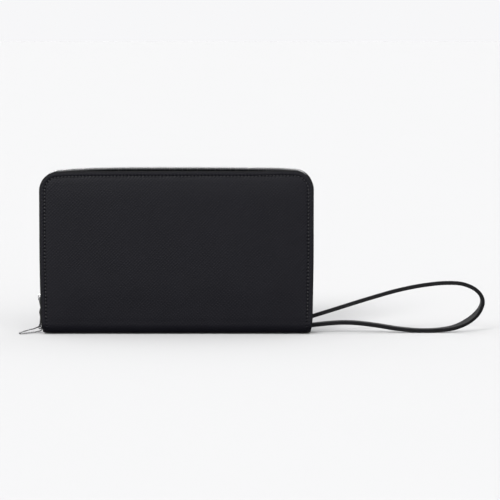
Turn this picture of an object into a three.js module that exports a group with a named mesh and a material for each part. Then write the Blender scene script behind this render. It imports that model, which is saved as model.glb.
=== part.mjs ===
// A zip-around long wallet: two stiffened leather covers on a leather spine, closed by a metal zip that
// runs up one short side, over the top and down the other. Inside are card slots on both covers and a
// zipped coin pocket between them. A wrist strap loops out of one lower corner.
// Millimetres. +X runs along the wallet towards the strap, the front cover faces -Y, +Z is up.
// The origin is the centre of the flat underside of the spine.
import * as THREE from "three";

// Driving dimensions
const COVER_HALF_WIDTH = 105;
const HALF_THICKNESS = 14;
const COVER_TOP = 126.8; // highest point of a cover's gently arched top edge
const COVER_ARCH = 0.8;
const COVER_CORNER = 16.5;
const FOLD_Z = 8.35; // height of the line about which a cover opens
const GAP = 0.3; // clearance between neighbouring pieces

// Layers of one half, as distances from the middle plane
const LEATHER = 1.4;
const BOARD = 1.0;
const LINING = 0.7;
const SLOT_LEATHER = 0.6;
const COVER_INNER = HALF_THICKNESS - LEATHER;
const BOARD_OUTER = COVER_INNER - GAP;
const LINING_OUTER = BOARD_OUTER - BOARD - GAP;
const SLOTS_OUTER = LINING_OUTER - LINING - GAP;

// Spine: a channel with a flat base and two round bends
const SPINE_RADIUS = 8;
const SPINE_HALF_LENGTH = 102.6;
const SPINE_TOP = FOLD_Z - GAP / 2;
const SPINE_LINING = 0.6;
const BEND_STEPS = 6;
const CURVE_STEPS = 8;

// Linings and boards follow the cover inside the zip
const PANEL_HALF_WIDTH = 101.2;
const PANEL_TOP = 124.2;
const PANEL_CORNER = 15;
const PANEL_BOTTOM = 9.6;
const TAPER_Z = 14.2; // below this the cover's sides draw in towards the spine
const TAPER = 0.9;

// Card slots: stepped strips, the deepest one the tallest
const SLOT_HALF_WIDTH = 95;
const SLOT_BOTTOM = 12;
const SLOT_TOPS = [100, 86, 72];

// Main zip: its outline is that of the tooth rows' outer faces
const ZIP_HALF_WIDTH = 103.6;
const ZIP_TOP = 128;
const ZIP_ARCH = 1.6;
const ZIP_CORNER = 16.5;
const TOOTH_DEPTH = 2.2; // across the tape's thickness
const TOOTH_ROOT = 1.2; // depth of the gaps between teeth
const TOOTH_PITCH = 3.9;
const TOOTH_LOW = 0.7; // a row spans these distances from the middle plane
const TOOTH_HIGH = 3.3;
const ROW_BOTTOM = 19.5;
const TAPE_OUTER = 0.7; // depth of the tape's outer face below the tooth faces
const TAPE_THICKNESS = 0.8;
const TAPE_LOW = TOOTH_HIGH + GAP;
const TAPE_BOTTOM = 16.5;
const STOP_HEIGHT = 2.2;
const STOP_BOTTOM = ROW_BOTTOM - GAP - STOP_HEIGHT;

// Zip slider, closed at the lower end of the left side
const SLIDER_Z = 27.4;
const SLIDER_LENGTH = 9;
const SLIDER_HALF_WIDTH = 4.4;
const SLIDER_PLATE = 1.0;
const SLIDER_POST = 0.4; // half the thickness of the post between the rows
const SLIDER_LIP = 0.8;
const BRIDGE_HALF_WIDTH = 0.8;
const BRIDGE_HALF_LENGTH = 2.6;
const BRIDGE_BEAM = 0.7;
const THONG_THICKNESS = 0.8;
const THONG_STRAND = 0.9;
const THONG_HALF_WIDTH = 2.5;
const SLIDER_FACE = -ZIP_HALF_WIDTH - GAP - SLIDER_PLATE; // outside of its outer plate
const THONG_X = SLIDER_FACE - 0.85;
const BEAM_X = THONG_X - 0.75; // inside of the bridge's beam, clear of the thong as it swings

// Pull bar: a flat tapered bar with a long slot, hung on the thong with its tip on the ground
const BAR_PIVOT_Z = 4.9;
const BAR_REACH = 21.5; // from its hole to its tip
const BAR_TIP_Z = 1.6;
const BAR_YAW = Math.PI / 4; // turned towards the front
const BAR_THICKNESS = 1.2;
const BAR_EYE_HALF_HEIGHT = 2.3;
const BAR_TIP_HALF_HEIGHT = 1.25;
const BAR_HOLE = 1.5;
const BAR_CHAMFER = 0.8;
const BAR_EYE_LENGTH = 2;
const BAR_SLOT_START = 3.6;
const BAR_SLOT_START_HALF = 1.3;
const BAR_SLOT_END = BAR_REACH - 2.4;
const BAR_SLOT_END_HALF = 0.5;

// Coin pocket between the two note compartments, with its own zip
const POCKET_HALF_LENGTH = 92;
const POCKET_OUTER = 3.3;
const POCKET_WALL = 0.7;
const POCKET_BOTTOM = 2.9;
const POCKET_TOP = 95;
const POCKET_GUSSET = 1.0;
const COIN_TAPE_BOTTOM = 85;
const COIN_ROW_BOTTOM = 96.3;
const COIN_ROW_HEIGHT = 1.8;
const COIN_ROW_HALF_LENGTH = 88;
const COIN_ROW_LOW = 0.6;
const COIN_ROW_HIGH = 2.4;
const COIN_SLIDER_X = -78;
const COIN_SLIDER_LENGTH = 7;
const COIN_SLIDER_PLATE = 0.8;
const COIN_SLIDER_REACH = POCKET_OUTER + 0.1;
const COIN_KEEL_HALF_WIDTH = 1.3; // the slider's lower plate, between the tapes
const COIN_KEEL = 0.9;
const COIN_BRIDGE_HALF_LENGTH = 2.4;
const COIN_BRIDGE_RISE = 1.4;
const COIN_PULL_LENGTH = 15;
const COIN_PULL_HALF_WIDTH = 2.2;
const COIN_PULL_THICKNESS = 0.8;
const COIN_PULL_EYE_LENGTH = 4.6;
const COIN_PULL_EYE_HALF_WIDTH = 1.2;

// Side gussets, folded flat between a cover and the coin pocket
const GUSSET_OUTER_X = 99;
const GUSSET_FOLD = 27; // depth of the fold at its top
const GUSSET_FOOT = 2; // and at its bottom
const GUSSET_BOTTOM = 11;
const GUSSET_TOP = 92;
const GUSSET_LOW = 4.7;
const GUSSET_HIGH = 6.3;

// Wrist strap: a doubled leather strap, edge on to the front
const STRAP_HALF_WIDTH = 2.5;
const STRAP_HALF_THICKNESS = 1.35;
const STRAP_STEPS = 44;
const ANCHOR_LOW_X = 94;
const ANCHOR_HIGH_X = 98.6;
const ANCHOR_HALF_WIDTH = 3.8;
const ANCHOR_TOP = 14.5;
const STRAP_ROUTE = [
  [99.4, 0, 11.3],
  [105, 0, 13.1],
  [121, 0, 18.1],
  [139, 0, 23.8],
  [155, 0.4, 28.6],
  [171, 0.8, 33],
  [190, 1.2, 36.7],
  [208, 1.5, 38.4],
  [221, 1.5, 37.4],
  [230.5, 1.4, 33],
  [234.8, 1.2, 27.8],
  [235.4, 1, 22.6],
  [232, 0.7, 15.6],
  [224.8, 0.4, 9.2],
  [214.2, 0.2, 4.2],
  [201, 0, 2.1],
  [186, 0, 1.8],
  [170, 0, 3.2],
  [155, 0, 5.6],
  [141, 0, 7.4],
  [128.7, 0, 8],
  [116, 0, 7.3],
  [105, 0, 6.1],
  [99.4, 0, 5.3],
];

const leather = new THREE.MeshStandardMaterial({ color: 0x2a2a2e, roughness: 0.55, metalness: 0 });
const slotLeather = new THREE.MeshStandardMaterial({ color: 0x303034, roughness: 0.6, metalness: 0 });
const liningCloth = new THREE.MeshStandardMaterial({ color: 0x202024, roughness: 0.85, metalness: 0 });
const boardCard = new THREE.MeshStandardMaterial({ color: 0x8a8478, roughness: 0.9, metalness: 0 });
const zipTape = new THREE.MeshStandardMaterial({ color: 0x17171a, roughness: 0.9, metalness: 0 });
const silver = new THREE.MeshStandardMaterial({ color: 0xc9c9cb, roughness: 0.28, metalness: 1 });

function named(name, mesh) {
  mesh.name = name;
  return mesh;
}

// A shape drawn in X and Z, thickened along Y between two distances from the middle plane on one side.
function plate(name, side, near, far, shape, material) {
  const low = Math.min(side * near, side * far);
  const settings = { depth: far - near, bevelEnabled: false, curveSegments: CURVE_STEPS };
  const geometry = new THREE.ExtrudeGeometry(shape, settings);
  const mesh = new THREE.Mesh(geometry, material);
  mesh.rotation.x = Math.PI / 2;
  mesh.position.y = low + far - near;
  return named(name, mesh);
}

// A shape drawn in Y and Z, drawn out along X.
function bar(name, lowX, highX, shape, material) {
  const settings = { depth: highX - lowX, bevelEnabled: false, curveSegments: CURVE_STEPS };
  const geometry = new THREE.ExtrudeGeometry(shape, settings);
  const mesh = new THREE.Mesh(geometry, material);
  mesh.rotation.set(Math.PI / 2, Math.PI / 2, 0);
  mesh.position.x = lowX;
  return named(name, mesh);
}

function box(name, low, high, material) {
  const size = high.map((value, axis) => value - low[axis]);
  const mesh = new THREE.Mesh(new THREE.BoxGeometry(...size), material);
  mesh.position.set(...high.map((value, axis) => (value + low[axis]) / 2));
  return named(name, mesh);
}

function polygon(points) {
  return new THREE.Shape(points.map(([a, b]) => new THREE.Vector2(a, b)));
}

// Up one side, round a corner, along the arched top and down the other side.
function archPath(path, halfWidth, top, arch, corner) {
  const shoulder = top - arch;
  path.lineTo(-halfWidth, shoulder - corner);
  path.absarc(-halfWidth + corner, shoulder - corner, corner, Math.PI, Math.PI / 2, true);
  path.quadraticCurveTo(0, shoulder + 2 * arch, halfWidth - corner, shoulder);
  path.absarc(halfWidth - corner, shoulder - corner, corner, Math.PI / 2, 0, true);
  return path;
}

function coverShape() {
  const bottom = FOLD_Z + GAP / 2;
  const foot = COVER_HALF_WIDTH - TAPER;
  const shape = new THREE.Shape();
  shape.moveTo(-foot, bottom);
  shape.lineTo(-COVER_HALF_WIDTH, TAPER_Z);
  archPath(shape, COVER_HALF_WIDTH, COVER_TOP, COVER_ARCH, COVER_CORNER);
  shape.lineTo(COVER_HALF_WIDTH, TAPER_Z);
  shape.lineTo(foot, bottom);
  return shape;
}

function panelShape() {
  const shape = new THREE.Shape();
  shape.moveTo(-PANEL_HALF_WIDTH, PANEL_BOTTOM);
  archPath(shape, PANEL_HALF_WIDTH, PANEL_TOP, 0, PANEL_CORNER);
  shape.lineTo(PANEL_HALF_WIDTH, PANEL_BOTTOM);
  return shape;
}

function rectangle(lowA, lowB, highA, highB) {
  return polygon([
    [lowA, lowB],
    [highA, lowB],
    [highA, highB],
    [lowA, highB],
  ]);
}

// A channel section with round bends, open at the top. Its outer face is at the given inset from the
// spine's outside.
function channelShape(inset, thickness) {
  const section = new THREE.Shape();
  const bendY = HALF_THICKNESS - SPINE_RADIUS;
  const outer = SPINE_RADIUS - inset;
  const inner = outer - thickness;
  const points = [];
  function bend(side, radius, backwards) {
    for (let step = 0; step <= BEND_STEPS; step += 1) {
      const share = backwards ? BEND_STEPS - step : step;
      const angle = (share / BEND_STEPS) * (Math.PI / 2);
      points.push([side * (bendY + radius * Math.cos(angle)), SPINE_RADIUS - radius * Math.sin(angle)]);
    }
  }
  points.push([-bendY - outer, SPINE_TOP]);
  bend(-1, outer, false);
  bend(1, outer, true);
  points.push([bendY + outer, SPINE_TOP], [bendY + inner, SPINE_TOP]);
  bend(1, inner, false);
  bend(-1, inner, true);
  points.push([-bendY - inner, SPINE_TOP]);
  section.setFromPoints(points.map(([y, z]) => new THREE.Vector2(y, z)));
  return section;
}

// The open line that the zip follows, and points at a depth below it.
function zipLine(bottom) {
  const path = new THREE.Path();
  path.moveTo(-ZIP_HALF_WIDTH, bottom);
  archPath(path, ZIP_HALF_WIDTH, ZIP_TOP, ZIP_ARCH, ZIP_CORNER);
  path.lineTo(ZIP_HALF_WIDTH, bottom);
  return path;
}

function below(path, along, depth) {
  const point = path.getPointAt(along);
  const tangent = path.getTangentAt(along);
  return new THREE.Vector2(point.x + tangent.y * depth, point.y - tangent.x * depth);
}

function zipBand(bottom, outerDepth, innerDepth, steps) {
  const path = zipLine(bottom);
  const outer = [];
  const inner = [];
  for (let step = 0; step <= steps; step += 1) {
    outer.push(below(path, step / steps, outerDepth));
    inner.unshift(below(path, step / steps, innerDepth));
  }
  return new THREE.Shape([...outer, ...inner]);
}

function toothedBand(bottom) {
  const path = zipLine(bottom);
  const teeth = Math.round(path.getLength() / TOOTH_PITCH);
  const outer = [];
  const inner = [];
  for (let tooth = 0; tooth < teeth; tooth += 1) {
    const start = tooth / teeth;
    const middle = (tooth + 0.5) / teeth;
    outer.push(below(path, start, 0), below(path, middle, 0));
    outer.push(below(path, middle, TOOTH_ROOT));
    outer.push(below(path, (tooth + 1) / teeth, TOOTH_ROOT));
    if (tooth % 2 === 0) inner.unshift(below(path, start, TOOTH_DEPTH));
  }
  inner.unshift(below(path, 1, TOOTH_DEPTH));
  return new THREE.Shape([...outer, ...inner]);
}

function toothedStrip(lowX, highX, lowZ, highZ, root) {
  const teeth = Math.round((highX - lowX) / TOOTH_PITCH);
  const pitch = (highX - lowX) / teeth;
  const points = [[highX, lowZ], [lowX, lowZ]];
  for (let tooth = 0; tooth < teeth; tooth += 1) {
    const start = lowX + tooth * pitch;
    points.push([start, highZ], [start + pitch / 2, highZ]);
    points.push([start + pitch / 2, highZ - root], [start + pitch, highZ - root]);
  }
  return polygon(points);
}

// One cover with everything fixed to it.
function coverHalf(prefix, side) {
  const half = new THREE.Group();
  half.add(
    plate(`${prefix}_cover`, side, COVER_INNER, HALF_THICKNESS, coverShape(), leather),
    plate(`${prefix}_stiffener_board`, side, BOARD_OUTER - BOARD, BOARD_OUTER, panelShape(), boardCard),
    plate(`${prefix}_lining`, side, LINING_OUTER - LINING, LINING_OUTER, panelShape(), liningCloth),
  );
  SLOT_TOPS.forEach((top, index) => {
    const outer = SLOTS_OUTER - index * (SLOT_LEATHER + GAP);
    const shape = rectangle(-SLOT_HALF_WIDTH, SLOT_BOTTOM, SLOT_HALF_WIDTH, top);
    const name = `${prefix}_card_slot_${index + 1}`;
    half.add(plate(name, side, outer - SLOT_LEATHER, outer, shape, slotLeather));
  });
  const tape = zipBand(TAPE_BOTTOM, TAPE_OUTER, TAPE_OUTER + TAPE_THICKNESS, 60);
  half.add(
    plate(`${prefix}_zip_tape`, side, TAPE_LOW, BOARD_OUTER, tape, zipTape),
    plate(`${prefix}_zip_teeth`, side, TOOTH_LOW, TOOTH_HIGH, toothedBand(ROW_BOTTOM), silver),
  );
  const stopInner = TOOTH_DEPTH - ZIP_HALF_WIDTH;
  const stop = rectangle(-ZIP_HALF_WIDTH, STOP_BOTTOM, stopInner, STOP_BOTTOM + STOP_HEIGHT);
  half.add(plate(`${prefix}_zip_top_stop`, side, TOOTH_LOW, TOOTH_HIGH, stop, silver));
  return half;
}

// It is fixed to the back row and only reaches the middle, so that the front row lifts clear of it.
function zipBottomStop() {
  const low = [ZIP_HALF_WIDTH - TOOTH_DEPTH, -SLIDER_POST, STOP_BOTTOM];
  const high = [ZIP_HALF_WIDTH, TOOTH_HIGH, STOP_BOTTOM + STOP_HEIGHT];
  return box("zip_bottom_stop", low, high, silver);
}

function spine() {
  const group = new THREE.Group();
  const inside = channelShape(LEATHER + GAP, SPINE_LINING);
  group.add(
    bar("spine_leather", -SPINE_HALF_LENGTH, SPINE_HALF_LENGTH, channelShape(0, LEATHER), leather),
    bar("spine_lining", -PANEL_HALF_WIDTH, PANEL_HALF_WIDTH, inside, liningCloth),
  );
  return group;
}

// Coin pocket: two walls, a gusset round the bottom and the ends, and a straight zip along the top.
function coinPocket() {
  const group = new THREE.Group();
  const wallInner = POCKET_OUTER - POCKET_WALL;
  const wall = rectangle(-POCKET_HALF_LENGTH, POCKET_BOTTOM, POCKET_HALF_LENGTH, POCKET_TOP);
  const tapeTop = COIN_ROW_BOTTOM - GAP;
  const tape = rectangle(-COIN_ROW_HALF_LENGTH, COIN_TAPE_BOTTOM, COIN_ROW_HALF_LENGTH, tapeTop);
  const row = toothedStrip(
    -COIN_ROW_HALF_LENGTH,
    COIN_ROW_HALF_LENGTH,
    COIN_ROW_BOTTOM,
    COIN_ROW_BOTTOM + COIN_ROW_HEIGHT,
    TOOTH_ROOT,
  );
  for (const [prefix, side] of [["front", -1], ["back", 1]]) {
    group.add(
      plate(`coin_pocket_${prefix}_wall`, side, wallInner, POCKET_OUTER, wall, slotLeather),
      plate(`coin_zip_${prefix}_tape`, side, wallInner - GAP - SPINE_LINING, wallInner - GAP, tape, zipTape),
      plate(`coin_zip_${prefix}_teeth`, side, COIN_ROW_LOW, COIN_ROW_HIGH, row, silver),
    );
  }
  const inner = POCKET_HALF_LENGTH - POCKET_GUSSET;
  const floor = POCKET_BOTTOM + POCKET_GUSSET;
  const gusset = polygon([
    [-POCKET_HALF_LENGTH, POCKET_BOTTOM],
    [POCKET_HALF_LENGTH, POCKET_BOTTOM],
    [POCKET_HALF_LENGTH, POCKET_TOP],
    [inner, POCKET_TOP],
    [inner, floor],
    [-inner, floor],
    [-inner, POCKET_TOP],
    [-POCKET_HALF_LENGTH, POCKET_TOP],
  ]);
  const reach = wallInner - GAP;
  group.add(plate("coin_pocket_gusset", 1, -reach, reach, gusset, liningCloth));
  return group;
}

function sideGussets() {
  const group = new THREE.Group();
  for (const [prefix, side] of [["front", -1], ["back", 1]]) {
    for (const [end, sign] of [["left", -1], ["right", 1]]) {
      const shape = polygon([
        [sign * GUSSET_OUTER_X, GUSSET_BOTTOM],
        [sign * GUSSET_OUTER_X, GUSSET_TOP],
        [sign * (GUSSET_OUTER_X - GUSSET_FOLD), GUSSET_TOP],
        [sign * (GUSSET_OUTER_X - GUSSET_FOOT), GUSSET_BOTTOM],
      ]);
      group.add(plate(`gusset_${prefix}_${end}`, side, GUSSET_LOW, GUSSET_HIGH, shape, liningCloth));
    }
  }
  return group;
}

// Main slider: an H section drawn along the zip. Its lips turn in only over the back row, so that the
// front row can leave it sideways when the covers are opened.
function zipSlider() {
  const group = new THREE.Group();
  const outer = SLIDER_FACE + SLIDER_PLATE;
  const inner = -ZIP_HALF_WIDTH + TOOTH_DEPTH + GAP;
  const wide = SLIDER_HALF_WIDTH;
  const lip = wide - SLIDER_LIP;
  const section = polygon([
    [outer - SLIDER_PLATE, -wide],
    [outer - SLIDER_PLATE, wide],
    [outer, wide],
    [outer, SLIDER_POST],
    [inner, SLIDER_POST],
    [inner, lip],
    [inner - SLIDER_LIP / 2, lip],
    [inner - SLIDER_LIP / 2, wide],
    [inner + SLIDER_PLATE, wide],
    [inner + SLIDER_PLATE, -wide],
    [inner, -wide],
    [inner, -SLIDER_POST],
    [outer, -SLIDER_POST],
    [outer, -wide],
  ]);
  const geometry = new THREE.ExtrudeGeometry(section, { depth: SLIDER_LENGTH, bevelEnabled: false });
  const body = new THREE.Mesh(geometry, silver);
  body.position.z = SLIDER_Z - SLIDER_LENGTH / 2;
  const foot = SLIDER_FACE - GAP;
  const reach = BRIDGE_HALF_LENGTH;
  const leg = reach - BRIDGE_BEAM;
  const arch = polygon([
    [foot, SLIDER_Z - reach],
    [BEAM_X - BRIDGE_BEAM, SLIDER_Z - reach],
    [BEAM_X - BRIDGE_BEAM, SLIDER_Z + reach],
    [foot, SLIDER_Z + reach],
    [foot, SLIDER_Z + leg],
    [BEAM_X, SLIDER_Z + leg],
    [BEAM_X, SLIDER_Z - leg],
    [foot, SLIDER_Z - leg],
  ]);
  group.add(named("zip_slider", body));
  group.add(plate("zip_slider_bridge", 1, -BRIDGE_HALF_WIDTH, BRIDGE_HALF_WIDTH, arch, silver));
  return group;
}

function roundedLoop(halfWidth, lowZ, highZ) {
  const loop = new THREE.Shape();
  loop.absarc(0, highZ - halfWidth, halfWidth, 0, Math.PI, false);
  loop.absarc(0, lowZ + halfWidth, halfWidth, Math.PI, 2 * Math.PI, false);
  return loop;
}

// The thong is a closed loop of leather through the slider's bridge and the bar's hole.
function pullThong() {
  const low = BAR_PIVOT_Z - THONG_STRAND / 2;
  const high = SLIDER_Z + THONG_STRAND / 2;
  const loop = roundedLoop(THONG_HALF_WIDTH, low, high);
  const inside = THONG_HALF_WIDTH - THONG_STRAND;
  loop.holes.push(roundedLoop(inside, low + THONG_STRAND, high - THONG_STRAND));
  return bar("pull_thong", THONG_X - THONG_THICKNESS / 2, THONG_X + THONG_THICKNESS / 2, loop, leather);
}

function pullBar() {
  const tilt = Math.asin((BAR_PIVOT_Z - BAR_TIP_Z) / BAR_REACH);
  const eyeEnd = -BAR_EYE_HALF_HEIGHT;
  const tipChamfer = BAR_TIP_HALF_HEIGHT / 2;
  const outline = polygon([
    [eyeEnd, eyeEnd + BAR_CHAMFER],
    [eyeEnd + BAR_CHAMFER, eyeEnd],
    [BAR_EYE_LENGTH, eyeEnd],
    [BAR_REACH - tipChamfer, -BAR_TIP_HALF_HEIGHT],
    [BAR_REACH, tipChamfer - BAR_TIP_HALF_HEIGHT],
    [BAR_REACH, BAR_TIP_HALF_HEIGHT - tipChamfer],
    [BAR_REACH - tipChamfer, BAR_TIP_HALF_HEIGHT],
    [BAR_EYE_LENGTH, -eyeEnd],
    [eyeEnd + BAR_CHAMFER, -eyeEnd],
    [eyeEnd, -eyeEnd - BAR_CHAMFER],
  ]);
  const eye = new THREE.Path();
  eye.absarc(0, 0, BAR_HOLE, 0, 2 * Math.PI, true);
  const slot = polygon([
    [BAR_SLOT_START, -BAR_SLOT_START_HALF],
    [BAR_SLOT_END, -BAR_SLOT_END_HALF],
    [BAR_SLOT_END, BAR_SLOT_END_HALF],
    [BAR_SLOT_START, BAR_SLOT_START_HALF],
  ]);
  outline.holes.push(eye, slot);
  const flat = plate("pull_bar", 1, -BAR_THICKNESS / 2, BAR_THICKNESS / 2, outline, silver);
  const tilted = new THREE.Group();
  tilted.rotation.y = tilt;
  tilted.add(flat);
  const turned = new THREE.Group();
  turned.rotation.z = Math.PI + BAR_YAW;
  turned.position.set(THONG_X, 0, BAR_PIVOT_Z);
  turned.add(tilted);
  return turned;
}

// Coin slider: the same kind of H section, lying along X, with its bridge and a flat pull.
function coinSlider() {
  const group = new THREE.Group();
  const roof = COIN_ROW_BOTTOM + COIN_ROW_HEIGHT + GAP;
  const top = roof + COIN_SLIDER_PLATE;
  const lipBottom = COIN_ROW_BOTTOM + GAP;
  const lipInner = COIN_ROW_HIGH + GAP;
  const keelTop = COIN_ROW_BOTTOM - GAP;
  const section = polygon([
    [-COIN_SLIDER_REACH, lipBottom],
    [-lipInner, lipBottom],
    [-lipInner, roof],
    [-GAP, roof],
    [-GAP, keelTop],
    [-COIN_KEEL_HALF_WIDTH, keelTop],
    [-COIN_KEEL_HALF_WIDTH, keelTop - COIN_KEEL],
    [COIN_KEEL_HALF_WIDTH, keelTop - COIN_KEEL],
    [COIN_KEEL_HALF_WIDTH, keelTop],
    [GAP, keelTop],
    [GAP, roof],
    [lipInner, roof],
    [lipInner, lipBottom],
    [COIN_SLIDER_REACH, lipBottom],
    [COIN_SLIDER_REACH, top],
    [-COIN_SLIDER_REACH, top],
  ]);
  const lowX = COIN_SLIDER_X - COIN_SLIDER_LENGTH / 2;
  const foot = top + GAP;
  const beam = foot + COIN_BRIDGE_RISE;
  const reach = COIN_BRIDGE_HALF_LENGTH;
  const leg = reach - BRIDGE_BEAM;
  const arch = polygon([
    [COIN_SLIDER_X - reach, foot],
    [COIN_SLIDER_X - reach, beam + BRIDGE_BEAM],
    [COIN_SLIDER_X + reach, beam + BRIDGE_BEAM],
    [COIN_SLIDER_X + reach, foot],
    [COIN_SLIDER_X + leg, foot],
    [COIN_SLIDER_X + leg, beam],
    [COIN_SLIDER_X - leg, beam],
    [COIN_SLIDER_X - leg, foot],
  ]);
  const bridge = plate("coin_slider_bridge", 1, -BRIDGE_HALF_WIDTH, BRIDGE_HALF_WIDTH, arch, silver);
  group.add(bar("coin_slider", lowX, lowX + COIN_SLIDER_LENGTH, section, silver), bridge);
  const rung = COIN_PULL_THICKNESS / 2;
  const pull = rectangle(-rung, -COIN_PULL_HALF_WIDTH, COIN_PULL_LENGTH, COIN_PULL_HALF_WIDTH);
  const eye = COIN_PULL_EYE_HALF_WIDTH;
  pull.holes.push(rectangle(rung, -eye, COIN_PULL_EYE_LENGTH, eye));
  const geometry = new THREE.ExtrudeGeometry(pull, { depth: COIN_PULL_THICKNESS, bevelEnabled: false });
  const tab = new THREE.Mesh(geometry, silver);
  tab.position.set(COIN_SLIDER_X, 0, foot + GAP);
  group.add(named("coin_pull", tab));
  return group;
}

function wristStrap() {
  const route = new THREE.CatmullRomCurve3(STRAP_ROUTE.map((point) => new THREE.Vector3(...point)));
  const section = new THREE.Shape();
  const sides = 8;
  for (let side = 0; side < sides; side += 1) {
    const angle = ((side + 0.5) / sides) * 2 * Math.PI;
    const square = Math.cos(Math.PI / sides);
    const x = (STRAP_HALF_WIDTH * Math.cos(angle)) / square;
    const y = (STRAP_HALF_THICKNESS * Math.sin(angle)) / square;
    if (side === 0) section.moveTo(x, y);
    else section.lineTo(x, y);
  }
  const geometry = new THREE.ExtrudeGeometry(section, { steps: STRAP_STEPS, extrudePath: route });
  return named("wrist_strap", new THREE.Mesh(geometry, leather));
}

function strapAnchor() {
  const low = [ANCHOR_LOW_X, -ANCHOR_HALF_WIDTH, POCKET_BOTTOM];
  const high = [ANCHOR_HIGH_X, ANCHOR_HALF_WIDTH, ANCHOR_TOP];
  return box("strap_anchor_tab", low, high, leather);
}

const wallet = new THREE.Group();
wallet.add(spine(), coinPocket(), sideGussets(), strapAnchor(), wristStrap());
wallet.add(coverHalf("front", -1), coverHalf("back", 1), zipBottomStop());
wallet.add(zipSlider(), pullThong(), pullBar(), coinSlider());

export default wallet;
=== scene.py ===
"""The look of the long wallet: leather wrap, stitching, metal zips, puller, wrist strap and interior.

Sizes are in millimetres and are turned into metres when a mesh is made. The frame is that of the
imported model: +X along the wallet towards the strap, the front cover faces -Y, +Z is up, and the
origin is the centre of the underside.
"""

import math

import bmesh
import bpy
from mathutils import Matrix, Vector


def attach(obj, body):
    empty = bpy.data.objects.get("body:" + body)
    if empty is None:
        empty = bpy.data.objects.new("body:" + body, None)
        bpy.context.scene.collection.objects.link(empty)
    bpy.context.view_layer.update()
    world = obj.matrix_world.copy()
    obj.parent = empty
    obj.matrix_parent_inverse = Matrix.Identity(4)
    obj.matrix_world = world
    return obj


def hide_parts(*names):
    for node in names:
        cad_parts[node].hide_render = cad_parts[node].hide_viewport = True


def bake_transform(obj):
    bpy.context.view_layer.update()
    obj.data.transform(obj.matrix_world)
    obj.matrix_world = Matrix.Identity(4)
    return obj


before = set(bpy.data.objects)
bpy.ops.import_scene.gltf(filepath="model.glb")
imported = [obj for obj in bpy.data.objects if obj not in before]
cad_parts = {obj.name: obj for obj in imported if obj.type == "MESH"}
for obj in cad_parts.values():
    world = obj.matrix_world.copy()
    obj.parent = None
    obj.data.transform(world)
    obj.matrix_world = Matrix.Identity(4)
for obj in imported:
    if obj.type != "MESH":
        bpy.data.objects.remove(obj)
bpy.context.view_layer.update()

MM = 0.001
WELD = 0.002
OFF_RIM = (0, 30)
FRONT = -1
BACK = 1
SIDES = (("front", FRONT), ("back", BACK))
ENDS = (("left", -1), ("right", 1))

# Outer wrap
HALF_WIDTH = 105.0
HALF_THICKNESS = 14.0
COVER_SHOULDER = 125.2
COVER_ARCH = 0.6
COVER_CORNER = 14.8
LEATHER = 1.4
BEND_RADIUS = 8.0
BEND_START = HALF_THICKNESS - BEND_RADIUS
BEND_LENGTH = BEND_RADIUS * math.pi / 2
SIDE_TAPER = 0.8
SIDE_TAPER_TOP = 65.0
FOOT_TAPER = 1.3
FOOT_TOP = 14.2
LIFT_START = 97.0
LIFT = 2.2
PILLOW = 0.7
PILLOW_EDGE = 20.0
PILLOW_FOOT = 30.0
RIGHT_RISE = 0.8
RISE_START = 52.0
RISE_RUN = 32.0
RISE_FOOT = 50.0
RISE_HEIGHT = 60.0
STITCH_INSET = 4.2
STITCH_FOOT = 10.5
RIDGE_INSET = 2.3
RIDGE = 0.08
GROOVE = 0.16
SHOULDER = 0.22
GROOVE_WIDTH = 0.6
SHOULDER_WIDTH = 3.8
PAINTED_EDGE = 0.9
RIM_STEPS = (0, 0.05, 0.18, 0.38, 0.7, 1.0, 1.4, 1.9, 2.3, 2.7, 3.1, 3.5, 3.8, 4.0, STITCH_INSET,
             4.4, 4.6, 5.0, 5.6, 6.6, 8, 10, 13, COVER_CORNER)
ARCH_POWER = 4
CORNER_X = HALF_WIDTH - COVER_CORNER
CORNER_Z = COVER_SHOULDER - COVER_CORNER
CORNER_STEPS = 16

# Stitching
STITCH_PITCH = 2.7
STITCH_LENGTH = 1.8
STITCH_RADIUS = 0.24
FINE_PITCH = 2.4
FINE_LENGTH = 1.8
FINE_RADIUS = 0.17

# Panels inside the covers, as distances from the middle plane
PANEL_HALF_WIDTH = 101.2
PANEL_SHOULDER = 124.2
PANEL_CORNER = 14.0
PANEL_BOTTOM = 9.6
BOARD = (11.3, 12.3)
LINING = (10.3, 11.0)
CARD_LAYERS = ((9.4, 10.0, 100), (8.5, 9.1, 86), (7.6, 8.2, 72))
CARD_HALF_WIDTH = 95.0
CARD_BOTTOM = 12.0
HEM = 7.0
SEAM_INSET = 1.8

# Side gussets
GUSSET_FOOT = 11.0
GUSSET_TOP = 92.0
GUSSET_EDGE = 99.0
GUSSET_DEPTH = 25.0
GUSSET_ROOT = 91.5
CLOTH = 0.3

# Main zip
ZIP_HALF_WIDTH = 103.6
ZIP_SHOULDER = 126.0
ZIP_ARCH = 2.0
ZIP_CORNER = 14.8
ZIP_BOTTOM = 19.5
TAPE_FOOT = 9.8
TOOTH_PITCH = 1.95
TOOTH_DEPTH = 2.2
TOOTH_WIDTH = 0.91
STOP_LOW = 17.0
STOP_HIGH = 19.2
TAPE_INNER = 3.1
TAPE_OUTER = 12.5
TAPE_STEPS = 8
BEAD_RADIUS = 0.75
BEAD_PLACE = 2.5
BEAD_DEPTH = 1.1
SLIDER_Z = 27.4
SLIDER_FACE = -104.9
SLIDER_INSIDE = -100.1
SLIDER_PLATE = 1.0
THONG_X = -105.75
THONG_RADIUS = 2.05
BAR_PIVOT_Z = 4.9
BAR_TIP_Z = 1.6
BAR_REACH = 21.5
BAR_YAW = math.radians(45)

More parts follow.
